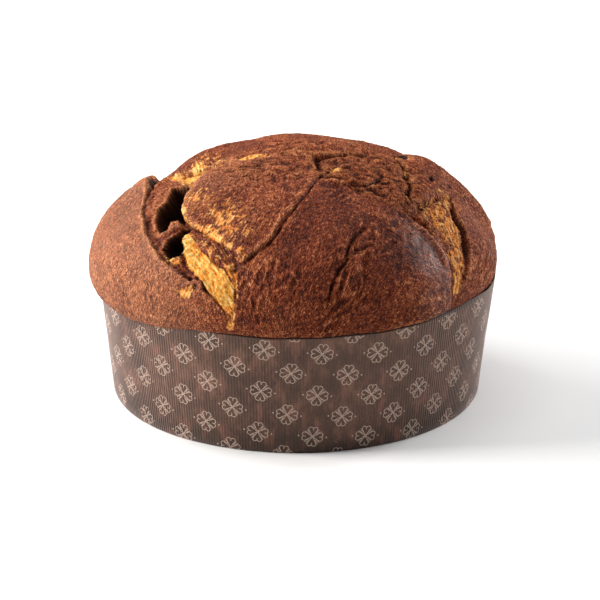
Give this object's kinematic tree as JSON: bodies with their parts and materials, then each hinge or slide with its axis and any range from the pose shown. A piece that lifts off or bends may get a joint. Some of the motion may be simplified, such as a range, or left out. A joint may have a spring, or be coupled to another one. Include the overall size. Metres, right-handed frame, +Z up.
{
  "type": "panettone",
  "caption": "Low domed sweet loaf with split brown crust and golden crumb, baked in a flared round paper case.",
  "frame": {"origin": "centre of the flat underside of the paper case, on the surface that it stands on", "axes": "+Z up along the case's axis; -Y towards the side that shows the golden tear left of the middle; +X to the right of that side"},
  "size_m": [0.2162, 0.2132, 0.1319],
  "materials": {
    "crust": "matte",
    "baking_paper": "matte"
  },
  "bodies": {
    "root": {"bread": "crust", "paper_case": "baking_paper"}
  },
  "joints": []
}
